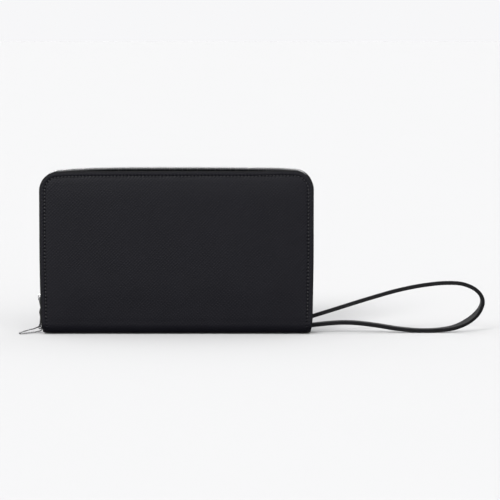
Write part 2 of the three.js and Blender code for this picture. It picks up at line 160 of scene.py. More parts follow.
# Coin pocket
POCKET_HALF = 92.0
POCKET_WALL = (2.6, 3.3)
POCKET_BOTTOM = 2.9
POCKET_TOP = 95.0
COIN_ROW_HALF = 88.0
COIN_ROW_Z = 96.3
COIN_TAPE_LOW = 85.0
COIN_TAPE = (1.75, 2.25)
COIN_TOOTH_TOP = 98.1
COIN_SLIDER_X = -78.0
COIN_SLIDER_Z = 98.4
COIN_PULL_Z = 100.2

# Wrist strap: its route, and the tab that holds its two ends
STRAP_ROUTE = (
    (99.4, 0, 11.3), (105, 0, 13.1), (121, 0, 18.1), (139, 0, 23.8), (155, 0.4, 28.6), (171, 0.8, 33),
    (190, 1.2, 36.7), (208, 1.5, 38.4), (221, 1.5, 37.4), (230.5, 1.4, 33), (234.8, 1.2, 27.8),
    (235.4, 1, 22.6), (232, 0.7, 15.6), (224.8, 0.4, 9.2), (214.2, 0.2, 4.2), (201, 0, 2.1),
    (186, 0, 1.8), (170, 0, 3.2), (155, 0, 5.6), (141, 0, 7.4), (128.7, 0, 8), (116, 0, 7.3),
    (105, 0, 6.1), (99.4, 0, 5.3),
)
STRAP_WIDTH = 5.0
STRAP_THICKNESS = 2.9
STRAP_ROLL = ((0, -2), (0.42, -2), (0.49, 0), (0.52, -16), (0.545, -36), (0.57, -42), (0.6, -24),
              (0.65, -7), (0.7, -6), (0.8, -8), (1, -6))
TAB = ((94.0, -3.8, 2.9), (98.6, 3.8, 14.5))

# Camera
CAMERA_ELEVATION = math.radians(4.5)
CAMERA_DISTANCE = 2.2
CAMERA_AIM = (0.0562, 0.0, 0.064)
FIELD_WIDTH = 0.385
SENSOR_WIDTH = 36.0

# Studio: brightness all round, the softbox, and the suns by name, direction, breadth in degrees and power
BACK_LEVEL = 0.93
HORIZON_LEVEL = 0.7
FRONT_LEVEL = 1.08
TOP_LEVEL = 0.12
LEFT_LEVEL = 0.3
FLOOR_SHADE = 0.585
SOFTBOX_POWER = 12.0
SOFTBOX_PLACE = (-0.75, -0.95, 0.7)
SOFTBOX_AIM = (-0.05, 0, 0.08)
SOFTBOX_SIZE = 0.6
SUNS = (("key", (0.3, 0.86, -0.5), 20, 2.4), ("fill", (-0.3, 0.85, -0.4), 45, 1.2))
FLOOR_REACH = 40000
CARD = ((-260, -700), (400, -10))
CARD_HEIGHT = 0.6


# ---------------- meshes


class Surface:
    """Points in millimetres, and faces that carry flat and rim coordinates at their corners."""

    def __init__(self):
        self.points = []
        self.faces = []
        self.slots = []
        self.flat = []
        self.rim = []

    def grid(self, rows, flat, closed=False, slot=0, rim=None):
        """Quads between rows of points. flat(i, j) gives the coordinates of a corner."""
        start = len(self.points)
        width = len(rows[0])
        for row in rows:
            self.points.extend(row)
        for i in range(len(rows) - 1):
            for j in range(width if closed else width - 1):
                k = (j + 1) % width
                low = start + i * width
                high = low + width
                corners = ((i, j), (i, j + 1), (i + 1, j + 1), (i + 1, j))
                self.faces.append((low + j, low + k, high + k, high + j))
                self.flat.append([flat(*corner) for corner in corners])
                self.rim.append([rim(*corner) if rim else OFF_RIM for corner in corners])
                self.slots.append(slot(i, j) if callable(slot) else slot)

    def cap(self, row, flat, slot=0):
        """One flat face over a loop of points."""
        start = len(self.points)
        self.points.extend(row)
        self.faces.append(tuple(range(start, start + len(row))))
        self.flat.append([flat(j) for j in range(len(row))])
        self.rim.append([OFF_RIM] * len(row))
        self.slots.append(slot)

    def build(self, name, materials, sharp=38):
        mesh = bpy.data.meshes.new(name)
        mesh.from_pydata([[value * MM for value in point] for point in self.points], [], self.faces)
        for label, faces in (("flat", self.flat), ("rim", self.rim)):
            layer = mesh.uv_layers.new(name=label)
            layer.data.foreach_set("uv", [value for face in faces for corner in face for value in corner])
        mesh.polygons.foreach_set("material_index", self.slots)
        for material in materials:
            mesh.materials.append(material)
        work = bmesh.new()
        work.from_mesh(mesh)
        bmesh.ops.remove_doubles(work, verts=work.verts, dist=WELD * MM)
        bmesh.ops.recalc_face_normals(work, faces=work.faces)
        work.to_mesh(mesh)
        work.free()
        mesh.shade_smooth()
        mesh.set_sharp_from_angle(angle=math.radians(sharp))
        piece = bpy.data.objects.new(name, mesh)
        bpy.context.scene.collection.objects.link(piece)
        return piece

    def fix(self, name, materials, body, slot, *nodes, sharp=38):
        """Build a piece that rides on a body and stands for CAD nodes. The slot is not used."""
        piece = self.build(name, materials, sharp)
        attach(piece, body)
        stand_for(piece, slot, *nodes)
        return piece


def stand_for(piece, slot, *nodes):
    if nodes:
        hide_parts(*nodes)


def spread(low, high, step):
    """Evenly spaced values from low to high, about step apart."""
    count = max(1, math.ceil(abs(high - low) / step - 0.001))
    return [low + (high - low) * k / count for k in range(count + 1)]


def smooth(value):
    value = min(1.0, max(0.0, value))
    return value * value * (3 - 2 * value)


def hump(value, centre, width):
    return math.exp(-(((value - centre) / width) ** 2))


def table_value(table, at):
    """Straight lines between the pairs of a table."""
    for (low, first), (high, second) in zip(table, table[1:]):
        if at <= high:
            return first + (second - first) * (at - low) / (high - low)
    return table[-1][1]


def distances(points):
    """How far along a line each of its points is."""
    along = [0]
    for before, after in zip(points, points[1:]):
        along.append(along[-1] + math.dist(before, after))
    return along


def ways(points, closed=False):
    """The direction of a line at each of its points."""
    before = points[-1:] + points[:-1] if closed else points[:1] + points[:-1]
    after = points[1:] + points[:1] if closed else points[1:] + points[-1:]
    return [(second - first).normalized() for first, second in zip(before, after)]


def arc(centre_a, centre_b, radius, start, end, steps):
    """Points of an arc between two angles in degrees."""
    angles = [math.radians(start + (end - start) * k / steps) for k in range(steps + 1)]
    return [(centre_a + radius * math.cos(angle), centre_b + radius * math.sin(angle)) for angle in angles]


def ring(radius, count):
    return arc(0, 0, radius, 0, 360, count)[:-1]


def flipped(points):
    """The other half of a symmetric line, from its middle on."""
    return [(-a, b) for a, b in reversed(points)]


def upright(side):
    """Put an (x, z) outline in space at a distance from the middle plane."""
    return lambda a, b, depth: Vector((a, side * depth, b))


def lying(side=1):
    """Put an (x, y) outline in space at a height."""
    return lambda a, b, depth: Vector((a, side * b, depth))


def endwise(side=1):
    """Put a (y, z) outline in space at a place along the wallet."""
    return lambda a, b, depth: Vector((depth, side * a, b))


def inset_outline(outline, inset):
    """The outline moved inwards by a small distance."""
    count = len(outline)
    pairs = zip(outline[-1:] + outline[:-1], outline)
    area = sum(first[0] * second[1] - second[0] * first[1] for first, second in pairs)
    turn = 1 if area > 0 else -1
    moved = []
    for k, (a, b) in enumerate(outline):
        before = Vector((a - outline[k - 1][0], b - outline[k - 1][1])).normalized()
        after = Vector((outline[(k + 1) % count][0] - a, outline[(k + 1) % count][1] - b)).normalized()
        first = Vector((-before.y, before.x)) * turn
        second = Vector((-after.y, after.x)) * turn
        way = (first + second) / max(0.3, 1 + first.dot(second))
        moved.append((a + way.x * inset, b + way.y * inset))
    return moved


def slab(surface, outline, low, high, place, bevel, steps=2):
    """A flat piece with rounded edges between two depths. place(a, b, depth) puts it in space."""
    rings = [(low, bevel * 1.3)] + arc(low + bevel, bevel, bevel, 180, 270, steps)
    rings += [(low + high - depth, inset) for depth, inset in reversed(rings)]
    outlines = [inset_outline(outline, inset) for _, inset in rings]
    rows = [[place(a, b, depth) for a, b in line] for (depth, _), line in zip(rings, outlines)]
    count = len(outline)
    surface.grid(rows, lambda i, j: outlines[i][j % count], closed=True)
    surface.cap(rows[0], lambda j: outlines[0][j])
    surface.cap(rows[-1], lambda j: outlines[-1][j])


def round_box(low_a, low_b, high_a, high_b, radius, steps=4):
    """A rectangle with round corners."""
    points = []
    corners = ((high_a, high_b, 0), (low_a, high_b, 90), (low_a, low_b, 180), (high_a, low_b, 270))
    for a, b, start in corners:
        centre_a = a - radius if a == high_a else a + radius
        centre_b = b - radius if b == high_b else b + radius
        points += arc(centre_a, centre_b, radius, start, start + 90, steps)
    return points


def rise_at(x, z):
    """The right shoulder stands a little higher than the left."""
    return RIGHT_RISE * smooth((x - RISE_START) / RISE_RUN) * smooth((z - RISE_FOOT) / RISE_HEIGHT)


def arch_line(half_width, shoulder, arch, corner, bottom, step):
    """Up the left side, over the arched top and down the right side, as (x, z) points."""
    centre = half_width - corner
    base = shoulder - corner
    left = [(-half_width, z) for z in spread(bottom, base, step)]
    left += arc(-centre, base, corner, 180, 90, CORNER_STEPS)[1:-1]
    top = [(x, shoulder + arch * (1 - (x / centre) ** ARCH_POWER)) for x in spread(-centre, centre, step)]
    return [(x, z + rise_at(x, z)) for x, z in left + top + flipped(left)]


def sweep(surface, path, section, side, closed=False, slot=0):
    """Draw a section along a path. side is the section's first axis, one for all or one a point."""
    path = [Vector(point) for point in path]
    rows = []
    for i, (point, way) in enumerate(zip(path, ways(path, closed))):
        first = Vector(side[i] if isinstance(side, list) else side)
        first = (first - way * first.dot(way)).normalized()
        second = way.cross(first)
        rows.append([point + first * p + second * q for p, q in section])
    travel = distances(path + path[:1])
    around = distances(section + section[:1])
    if closed:
        rows.append(rows[0])
    surface.grid(rows, lambda i, j: (travel[i], around[j]), closed=True, slot=slot)
    if not closed:
        for row in (rows[0], rows[-1]):
            surface.cap(row, lambda j: section[j])


def shell(surface, rows, thickness, flat):
    """A sheet of cloth or leather with a thickness, from a grid of points on one face."""
    rows = [[Vector(point) for point in row] for row in rows]
    height = len(rows)
    width = len(rows[0])
    under = []
    for i in range(height):
        line = []
        for j in range(width):
            down = rows[min(i + 1, height - 1)][j] - rows[max(i - 1, 0)][j]
            along = rows[i][min(j + 1, width - 1)] - rows[i][max(j - 1, 0)]
            line.append(rows[i][j] + down.cross(along).normalized() * thickness)
        under.append(line)
    surface.grid(rows, flat)
    surface.grid(under, flat)
    for i in (0, height - 1):
        surface.grid([rows[i], under[i]], lambda a, j, i=i: flat(i, j))
    for j in (0, width - 1):
        edge = [[row[j] for row in rows], [row[j] for row in under]]
        surface.grid(edge, lambda a, i, j=j: flat(i, j))


def resample(line, pitch):
    """Points a pitch apart along a line, with the way the line runs there."""
    line = [Vector(point) for point in line]
    lengths = distances(line)
    count = max(1, int(lengths[-1] / pitch))
    margin = (lengths[-1] - (count - 1) * pitch) / 2
    found = []
    k = 0
    for number in range(count):
        at = margin + number * pitch
        while lengths[k + 1] < at:
            k += 1
        way = line[k + 1] - line[k]
        found.append((line[k] + way * ((at - lengths[k]) / way.length), way.normalized()))
    return found


def smooth_path(route, step):
    """A centripetal Catmull-Rom curve through the points of a route."""
    knots = [Vector(point) for point in route]
    knots = [knots[0] * 2 - knots[1]] + knots + [knots[-1] * 2 - knots[-2]]
    path = []
    for a, b, c, d in zip(knots, knots[1:], knots[2:], knots[3:]):
        t1 = (b - a).length ** 0.5
        t2 = t1 + (c - b).length ** 0.5
        t3 = t2 + (d - c).length ** 0.5
        count = max(2, round((c - b).length / step))
        for k in range(count):
            t = t1 + (t2 - t1) * k / count
            ab = a.lerp(b, t / t1)
            bc = b.lerp(c, (t - t1) / (t2 - t1))
            cd = c.lerp(d, (t - t2) / (t3 - t2))
            abc = ab.lerp(bc, t / t2)
            bcd = bc.lerp(cd, (t - t1) / (t3 - t1))
            path.append(abc.lerp(bcd, (t - t1) / (t2 - t1)))
    path.append(knots[-2])
    return path


def add_stitches(surface, line, normal, pitch, length, radius):
    """A row of short thread loops along a line. Each is slightly slanted and dips into its holes."""
    normal = Vector(normal)
    profile = [(-0.5, 0.45, -1.1), (-0.42, 0.9, -0.3), (-0.2, 1, 0.35)]
    profile += [(-share, size, height) for share, size, height in reversed(profile)]
    for centre, way in resample(line, pitch):
        across = normal.cross(way).normalized()
        slant = (way + across * 0.12).normalized()
        rows = []
        for share, size, height in profile:
            middle = centre + slant * (length * share) + normal * (radius * height)
            around = [across * (p * 1.15) + normal * q for p, q in ring(1, 6)]
            rows.append([middle + offset * (radius * size) for offset in around])
        surface.grid(rows, lambda i, j: (i * length / 5, j * radius), closed=True)
        for row in (rows[0], rows[-1]):
            surface.cap(row, lambda j: (0, 0))


def fine_stitches(surface, line, normal):
    add_stitches(surface, line, normal, FINE_PITCH, FINE_LENGTH, FINE_RADIUS)


# ---------------- materials


class Nodes:
    """Short calls that add nodes to one node tree."""

    def __init__(self, tree):
        self.tree = tree

    def feed(self, socket, value):
        """Give a socket a value of its own, or another node's output."""
        if isinstance(value, bpy.types.NodeSocket):
            self.tree.links.new(value, socket)
        else:
            socket.default_value = value

    def add(self, kind, inputs=(), **settings):
        made = self.tree.nodes.new("ShaderNode" + kind)
        for name, value in settings.items():
            setattr(made, name, value)
        for name, value in dict(inputs).items():
            self.feed(made.inputs[name], value)
        return made

    def calculate(self, operation, first, second=0.0, third=0.0):
        inputs = {0: first, 1: second, 2: third}
        return self.add("Math", inputs, operation=operation).outputs[0]

    def product(self, first, second):
        return self.calculate("MULTIPLY", first, second)

    def weighted(self, value, weight, rest):
        """A value times a weight, plus the rest."""
        return self.calculate("MULTIPLY_ADD", value, weight, rest)

    def ramp(self, value, low, high, first, last):
        """Spread a value's range from low to high over the range from first to last."""
        inputs = {"Value": value, "From Min": low, "From Max": high, "To Min": first, "To Max": last}
        return self.add("MapRange", inputs).outputs[0]

    def colour(self, factor, first, second):
        inputs = {0: factor, 6: (*first, 1), 7: (*second, 1)}
        return self.add("Mix", inputs, data_type="RGBA").outputs[2]

    def flat(self, label="flat"):
        """Coordinates on the flattened surface, in millimetres."""
        return self.add("UVMap", uv_map=label).outputs[0]

    def space(self):
        """Coordinates in space, in metres."""
        return self.add("TexCoord").outputs["Object"]

    def noise(self, vector, scale, detail=3.0, roughness=0.55):
        inputs = {"Vector": vector, "Scale": scale, "Detail": detail, "Roughness": roughness}
        return self.add("TexNoise", inputs).outputs[0]

    def turned(self, vector, degrees):
        inputs = {"Vector": vector, "Rotation": (0, 0, math.radians(degrees))}
        return self.add("Mapping", inputs).outputs[0]

    def waves(self, vector, period, distortion=0.0):
        """Parallel ridges that cross the vector's first axis, one each period."""
        scale = math.pi / (10 * period)
        inputs = {"Vector": vector, "Scale": scale, "Distortion": distortion, "Detail": 1.0}
        return self.add("TexWave", inputs, wave_profile="SIN").outputs[1]


class Recipe(Nodes):
    """A new material and the nodes that its shader is fed from."""

    def __init__(self, name):
        self.material = bpy.data.materials.new(name)
        self.material.use_nodes = True
        super().__init__(self.material.node_tree)
        self.shader = self.tree.nodes["Principled BSDF"]

    def bump(self, height, distance):
        """Raise the surface where height is 1 by a distance in millimetres."""
        inputs = {"Height": height, "Distance": distance * MM, "Strength": 1.0}
        self.feed(self.shader.inputs["Normal"], self.add("Bump", inputs).outputs[0])

    def finish(self, colour, roughness, specular=0.5, more=()):
        values = {"Base Color": colour, "Roughness": roughness, "Specular IOR Level": specular}
        values.update(more)
        for name, value in values.items():
            self.feed(self.shader.inputs[name], value)
        return self.material


def leather_material(name, dark, light, grain, roughness, specular, relief=0.13, puckered_and_shaded=False):
    """Fine pebbled leather: small cells, two slanted hatchings and a broad mottle. Needle holes can dip in
    and get painted shade.
    """
    mix = Recipe(name)
    flat = mix.flat()
    inputs = {"Vector": flat, "Scale": 1 / grain, "Randomness": 0.85}
    cells = mix.add("TexVoronoi", inputs, feature="DISTANCE_TO_EDGE").outputs[0]
    pebble = mix.ramp(cells, 0.0, 0.35, 0.0, 1.0)
    rise = mix.waves(mix.turned(flat, 45), grain, 1.0)
    fall = mix.waves(mix.turned(flat, -45), grain * 1.2, 1.0)
    hatch = mix.weighted(rise, 0.8, mix.product(rise, fall))
    fine = mix.noise(flat, 3.2 / grain, 4)
    broad = mix.noise(flat, 0.035, 3)
    height = mix.weighted(hatch, 0.55, mix.product(pebble, 0.6))
    height = mix.weighted(fine, 0.35, height)
    height = mix.weighted(broad, 0.5, height)
    shade = mix.weighted(hatch, 0.5, mix.product(broad, 0.5))
    # Needle holes dip in the bump, and their colour is darkened: painted shade in the holes.
    if puckered_and_shaded:
        hole_and_shade = needle_holes(mix)
        height = mix.weighted(hole_and_shade, -5.0, height)
        shade = mix.product(shade, mix.calculate("SUBTRACT", 1.0, hole_and_shade))
    mix.bump(height, relief)
    gloss = mix.weighted(broad, 0.1, mix.product(fine, 0.12))
    rough = mix.calculate("ADD", gloss, roughness - 0.11)
    return mix.finish(mix.colour(shade, dark, light), rough, specular)


def needle_holes(mix):
    """How deep a point is in a needle hole of the rim's stitch row, from 0 to 1. It sets the dip and the
    painted shade in the holes.
    """
    rim = mix.add("SeparateXYZ", {0: mix.flat("rim")}).outputs
    beat = mix.calculate("COSINE", mix.product(rim[0], 2 * math.pi / STITCH_PITCH))
    off = mix.calculate("ABSOLUTE", mix.calculate("SUBTRACT", rim[1], STITCH_INSET))
    near = mix.ramp(off, 0.2, 1.1, 1.0, 0.0)
    return mix.product(mix.ramp(beat, -1.0, 0.4, 1.0, 0.0), near)


def edge_paint_material():
    """Thick black paint on the cut edges, a little wavy and worn."""
    mix = Recipe("edge_paint")
    space = mix.space()
    wave = mix.noise(space, 260, 2)
    speck = mix.noise(space, 1500, 3)
    mix.bump(mix.weighted(speck, 0.3, wave), 0.12)
    worn = mix.ramp(speck, 0.45, 0.75, 0.0, 1.0)
    colour = mix.colour(worn, (0.0025, 0.0025, 0.003), (0.008, 0.008, 0.009))
    return mix.finish(colour, mix.ramp(wave, 0.3, 0.7, 0.58, 0.7), 0.1)


def thread_material():
    """Waxed thread, twisted and a little fuzzy."""
    mix = Recipe("waxed_thread")
    twist = mix.waves(mix.turned(mix.flat(), 35), 0.35)
    fuzz = mix.noise(mix.space(), 6000, 2)
    mix.bump(mix.weighted(fuzz, 0.4, twist), 0.05)
    colour = mix.colour(twist, (0.004, 0.004, 0.0045), (0.011, 0.011, 0.012))
    return mix.finish(colour, mix.ramp(fuzz, 0.3, 0.7, 0.42, 0.6), 0.4)


def cloth_material(name, dark, light, period, slanted):
    """Woven cloth: warp and weft ridges, plain or slanted as in twill tape."""
    mix = Recipe(name)
    flat = mix.flat()
    warp = mix.waves(mix.turned(flat, 40 if slanted else 0), period, 0.3)
    weft = mix.waves(mix.turned(flat, 90), period * (0.6 if slanted else 1), 0.3)
    weave = mix.weighted(warp, 0.6 if slanted else 0.25, mix.product(warp, weft))
    slub = mix.noise(flat, 0.9, 4)
    mix.bump(mix.weighted(slub, 0.5, weave), 0.09)
    shade = mix.weighted(weave, 0.6, mix.product(slub, 0.4))
    sheen = {"Sheen Weight": 0.12, "Sheen Roughness": 0.5}
    return mix.finish(mix.colour(shade, dark, light), mix.ramp(slub, 0.3, 0.7, 0.78, 0.92), 0.25, sheen)


def board_material():
    """Grey fibre board."""
    mix = Recipe("grey_board")
    fibre = mix.noise(mix.space(), 900, 5, 0.7)
    mix.bump(fibre, 0.08)
    colour = mix.colour(fibre, (0.16, 0.15, 0.13), (0.3, 0.28, 0.24))
    return mix.finish(colour, mix.ramp(fibre, 0.3, 0.7, 0.82, 0.95))


def silver_material(name, low, high, shade=1.0):
    """Plated metal with small dents, fine scratches and a little dulling. A shade below 1 darkens all of the
    colour: painted shade.
    """
    mix = Recipe(name)
    space = mix.space()
    drawn_out = mix.add("Mapping", {"Vector": space, "Scale": (9000, 900, 900)}).outputs[0]
    scratch = mix.noise(drawn_out, 1.0, 3)
    dull = mix.noise(space, 420, 3)
    # shade scales the whole colour down: painted shade for a copy that is to look darker.
    dark = [shade * value for value in (0.66, 0.66, 0.67)]
    light = [shade * value for value in (0.8, 0.8, 0.8)]
    rough = mix.weighted(scratch, 0.08, mix.ramp(dull, 0.3, 0.7, low, high))
    mix.bump(mix.weighted(scratch, 0.25, dull), 0.02)
    return mix.finish(mix.colour(dull, dark, light), rough, more={"Metallic": 1.0})


def matt_material(name, scale, dark, light, roughness):
    """A plain matt surface of the studio, faintly mottled."""
    mix = Recipe(name)
    mottle = mix.noise(mix.space(), scale, 2)
    return mix.finish(mix.colour(mottle, (dark,) * 3, (light,) * 3), roughness, 0.0)


# The wrap's leather has painted shade in its needle holes.
wrap_leather = leather_material(
    "wrap_leather", (0.002, 0.002, 0.0034), (0.0055, 0.0053, 0.0078), 1.75, 0.5, 0.085, 0.1, puckered_and_shaded=True)
strap_leather = leather_material(
    "strap_leather", (0.006, 0.006, 0.0065), (0.014, 0.014, 0.015), 0.7, 0.5, 0.32)
inner_leather = leather_material(
    "inner_leather", (0.007, 0.007, 0.0075), (0.015, 0.015, 0.016), 0.55, 0.55, 0.3)
edge_paint = edge_paint_material()
thread = thread_material()
lining_cloth = cloth_material("lining_weave", (0.006, 0.006, 0.007), (0.02, 0.02, 0.023), 0.5, False)
tape_cloth = cloth_material("tape_twill", (0.004, 0.004, 0.005), (0.014, 0.014, 0.016), 0.6, True)
card_board = board_material()
# The teeth's silver is the trim's silver darkened: painted shade.
shaded_tooth_silver = silver_material("shaded_tooth_silver", 0.16, 0.28, 0.48)
trim_silver = silver_material("trim_silver", 0.12, 0.24)


# ---------------- camera, light and floor


def put_in_scene(name, data, way):
    """Add a camera or a lamp that looks along a direction."""
    made = bpy.data.objects.new(name, data)
    made.rotation_mode = "QUATERNION"
    made.rotation_quaternion = Vector(way).to_track_quat("-Z", "Y")
    bpy.context.scene.collection.objects.link(made)
    return made


def make_camera():
    data = bpy.data.cameras.new("camera")
    data.sensor_width = SENSOR_WIDTH
    data.lens = SENSOR_WIDTH * CAMERA_DISTANCE / FIELD_WIDTH
    data.clip_end = 100
    back = Vector((0, -math.cos(CAMERA_ELEVATION), math.sin(CAMERA_ELEVATION)))
    camera = put_in_scene("camera", data, -back)
    camera.location = Vector(CAMERA_AIM) + back * CAMERA_DISTANCE
    bpy.context.scene.camera = camera


def make_world():
    """A white studio: even at the back, dim at the horizon in front, brighter above and on the left."""
    world = bpy.data.worlds.new("studio")
    bpy.context.scene.world = world
    world.use_nodes = True
    sky = Nodes(world.node_tree)
    way = sky.add("SeparateXYZ", {0: sky.add("TexCoord").outputs["Generated"]}).outputs
    front = sky.ramp(way[2], 0.0, 0.45, HORIZON_LEVEL, FRONT_LEVEL)
    behind = sky.ramp(way[1], -0.8, 0.0, 0.0, 1.0)
    level = sky.add("Mix", {0: behind, 2: front, 3: BACK_LEVEL}).outputs[0]
    level = sky.calculate("ADD", level, sky.ramp(way[2], 0.2, 1.0, 0.0, TOP_LEVEL))
    level = sky.calculate("ADD", level, sky.ramp(way[0], -1.0, -0.15, LEFT_LEVEL, 0.0))
    tint = sky.add("CombineColor", {0: level, 1: level, 2: sky.product(level, 1.012)})
    sky.feed(sky.tree.nodes["Background"].inputs["Color"], tint.outputs[0])


def make_suns():
    """Two soft suns in front, so that the object's shadow falls behind it."""
    for name, way, degrees, power in SUNS:
        data = bpy.data.lights.new(name, "SUN")
        data.energy = power
        data.angle = math.radians(degrees)
        put_in_scene(name, data, way)


def make_softbox():
    """A lamp for the leather's sheen, high on the left in front. It adds nothing to the floor."""
    data = bpy.data.lights.new("softbox", "AREA")
    data.energy = SOFTBOX_POWER
    data.shape = "SQUARE"
    data.size = SOFTBOX_SIZE
    lamp = put_in_scene("softbox", data, Vector(SOFTBOX_AIM) - Vector(SOFTBOX_PLACE))
    lamp.location = SOFTBOX_PLACE
    lamp.visible_diffuse = False
    lamp.visible_camera = False


def studio_sheet(name, low, high, z, material):
    """A level rectangle between two corners, which is part of the studio."""
    surface = Surface()
    rows = [[(x, y, z) for x in (low[0], high[0])] for y in (low[1], high[1])]
    surface.grid(rows, lambda i, j: (j, i))
    piece = surface.build(name, [material])
    return piece


def make_floor():
    material = matt_material("white_floor", 3, FLOOR_SHADE - 0.002, FLOOR_SHADE + 0.002, 0.9)
    studio_sheet("studio_floor", (-FLOOR_REACH, -FLOOR_REACH), (FLOOR_REACH, FLOOR_REACH), 0, material)


def make_card():
    """A dark card on the floor in front, which only the gloss of the object sees."""
    material = matt_material("dark_card", 400, 0.01, 0.02, 1.0)
    card = studio_sheet("studio_card", *CARD, CARD_HEIGHT, material)
    card.visible_camera = False
    card.visible_diffuse = False
    card.visible_shadow = False
    card.visible_transmission = False


bpy.context.scene.view_settings.view_transform = "Standard"
make_camera()
make_world()
make_suns()
make_softbox()
make_floor()
make_card()


# ---------------- wrist strap


def strap_section():
    """Two glued layers: a flat band with rounded corners and a faint groove along both edges."""
    across = STRAP_WIDTH / 2
    up = STRAP_THICKNESS / 2
    half = [(across - 0.12, 0), (across, 0.2), (across, up - 0.55), (across - 0.16, up - 0.16),
            (across - 0.55, up), (across * 0.4, up + 0.05)]
    upper = half + flipped(half)
    return upper + [(p, -q) for p, q in reversed(upper[1:-1])]


def make_strap():
    path = smooth_path(STRAP_ROUTE, 1.5)
    section = strap_section()
    sides = []
    for i, way in enumerate(ways(path)):
        roll = math.radians(table_value(STRAP_ROLL, i / (len(path) - 1)))
        outwards = way.cross(Vector((0, 1, 0)))
        sides.append(Vector((0, 1, 0)) * math.cos(roll) + outwards * math.sin(roll))
    surface = Surface()
    edge = STRAP_WIDTH / 2 - 0.5

    def slot(i, j):
        middle = (section[j][0] + section[(j + 1) % len(section)][0]) / 2
        return 1 if abs(middle) > edge else 0

    sweep(surface, path, section, sides, slot=slot)
    materials = [strap_leather, edge_paint]
    strap = surface.fix("strap_band", materials, "spine", "outer_leather", "wrist_strap", sharp=60)
    line = [point * MM for point in path]
    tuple(line[0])


def make_strap_tab():
    (low_x, low_y, low_z), (high_x, high_y, high_z) = TAB
    surface = Surface()
    outline = round_box(low_y, low_z, high_y, high_z, 1.2)
    slab(surface, outline, low_x, high_x, endwise(), 0.6, 3)
    surface.fix("strap_tab", [strap_leather], "spine", "outer_leather", "strap_anchor_tab")
    seams = Surface()
    for y in (low_y, high_y):
        line = [(low_x + 1.2, y, z) for z in (low_z + 1.2, high_z - 1.2)]
        fine_stitches(seams, line, (0, math.copysign(1, y), 0))
    seams.fix("strap_tab_stitching", [thread], "spine", "outer_leather")


make_strap()
make_strap_tab()


# ---------------- outer wrap


def wrap_height(travel):
    """Height of the outer face at a distance along the wrap from the middle of the underside."""
    if travel < BEND_START:
        return 0.0
    if travel < BEND_START + BEND_LENGTH:
        return BEND_RADIUS * (1 - math.cos((travel - BEND_START) / BEND_RADIUS))
    return travel - BEND_START - BEND_LENGTH + BEND_RADIUS


def wrap_travel(height):
    """Distance along the wrap of a point on the upright face."""
    return height - BEND_RADIUS + BEND_START + BEND_LENGTH


def wrap_point(side, x, travel, depth):
    """Put a point of the developed wrap in space, at a depth below its outer face."""
    angle = min(1.0, max(0.0, (travel - BEND_START) / BEND_LENGTH)) * math.pi / 2
    reach = BEND_RADIUS - depth
    y = min(travel, BEND_START) + reach * math.sin(angle)
    z = BEND_RADIUS - reach * math.cos(angle) + max(0.0, travel - BEND_START - BEND_LENGTH)
    lift = LIFT * max(0.0, (abs(x) - LIFT_START) / (HALF_WIDTH - LIFT_START)) ** 2
    return Vector((x, side * y, z + lift * (1 - smooth(z / FOOT_TOP)) + rise_at(x, z)))


def half_width_at(travel):
    height = wrap_height(travel)
    drawn_in = SIDE_TAPER * smooth(1 - height / SIDE_TAPER_TOP)
    return HALF_WIDTH - drawn_in - FOOT_TAPER * max(0.0, 1 - height / FOOT_TOP) ** 2


def arch_at(x):
    return COVER_ARCH * (1 - (x / CORNER_X) ** ARCH_POWER)


def rim_stations(insets):
    """Lines across the rim from the edge inwards, as (x, travel) points."""
    base = wrap_travel(CORNER_Z)
    left = []
    for travel in side_travels():
        half = half_width_at(travel)
        short = HALF_WIDTH - half
        left.append([(-half + inset - short * (inset / COVER_CORNER) ** 2, travel) for inset in insets])
    arcs = [arc(-CORNER_X, base, COVER_CORNER - inset, 180, 90, CORNER_STEPS) for inset in insets]
    left += list(zip(*arcs))[1:-1]
    top = []
    for x in top_places():
        edge = wrap_travel(COVER_SHOULDER) + arch_at(x)
        top.append([(x, edge - inset) for inset in insets])
    right = [[(-x, travel) for x, travel in line] for line in reversed(left)]
    return left + top + right


def side_travels():
    base = wrap_travel(CORNER_Z)
    bend = [BEND_START + BEND_LENGTH * k / 10 for k in range(1, 11)]
    foot = spread(wrap_travel(BEND_RADIUS), wrap_travel(FOOT_TOP), 1.6)[1:]
    return [0.0, BEND_START / 2, BEND_START] + bend + foot + spread(wrap_travel(FOOT_TOP), base, 5)[1:]


def top_places():
    return spread(-CORNER_X, CORNER_X, 5)


def pillow(x, travel):
    """How far the padded face stands out."""
    height = wrap_height(travel)
    swell = smooth((HALF_WIDTH - abs(x)) / PILLOW_EDGE) * smooth((COVER_SHOULDER - height) / PILLOW_EDGE)
    return PILLOW * swell * smooth((height - BEND_RADIUS) / PILLOW_FOOT)


def edge_drop(inset):
    """How far a face falls back towards the half-round edge."""
    radius = LEATHER / 2
    if inset >= radius:
        return 0.0
    return radius - math.sqrt(radius ** 2 - (radius - inset) ** 2)


def outer_depth(x, travel, inset):
    """Depth of the outer face, with a groove under the stitches and a low ridge beside it."""
    relief = GROOVE * hump(inset, STITCH_INSET, GROOVE_WIDTH) - RIDGE * hump(inset, RIDGE_INSET, GROOVE_WIDTH)
    relief -= SHOULDER * smooth((inset - STITCH_INSET) / SHOULDER_WIDTH)
    relief *= smooth((wrap_height(travel) - STITCH_FOOT + 2) / 5)
    return edge_drop(inset) + relief - pillow(x, travel)


def inner_depth(x, travel, inset):
    return LEATHER - edge_drop(inset) - pillow(x, travel)


def stitch_places(stations):
    """Distance of each station along the stitch row, counted from the middle of the first stitch."""
    row = [line[RIM_STEPS.index(STITCH_INSET)] for line in stations]
    along = distances(row)
    sewn = [place for place, (_, travel) in zip(along, row) if travel >= wrap_travel(STITCH_FOOT)]
    length = sewn[-1] - sewn[0]
    margin = (length - (int(length / STITCH_PITCH) - 1) * STITCH_PITCH) / 2
    return [place - sewn[0] - margin for place in along]


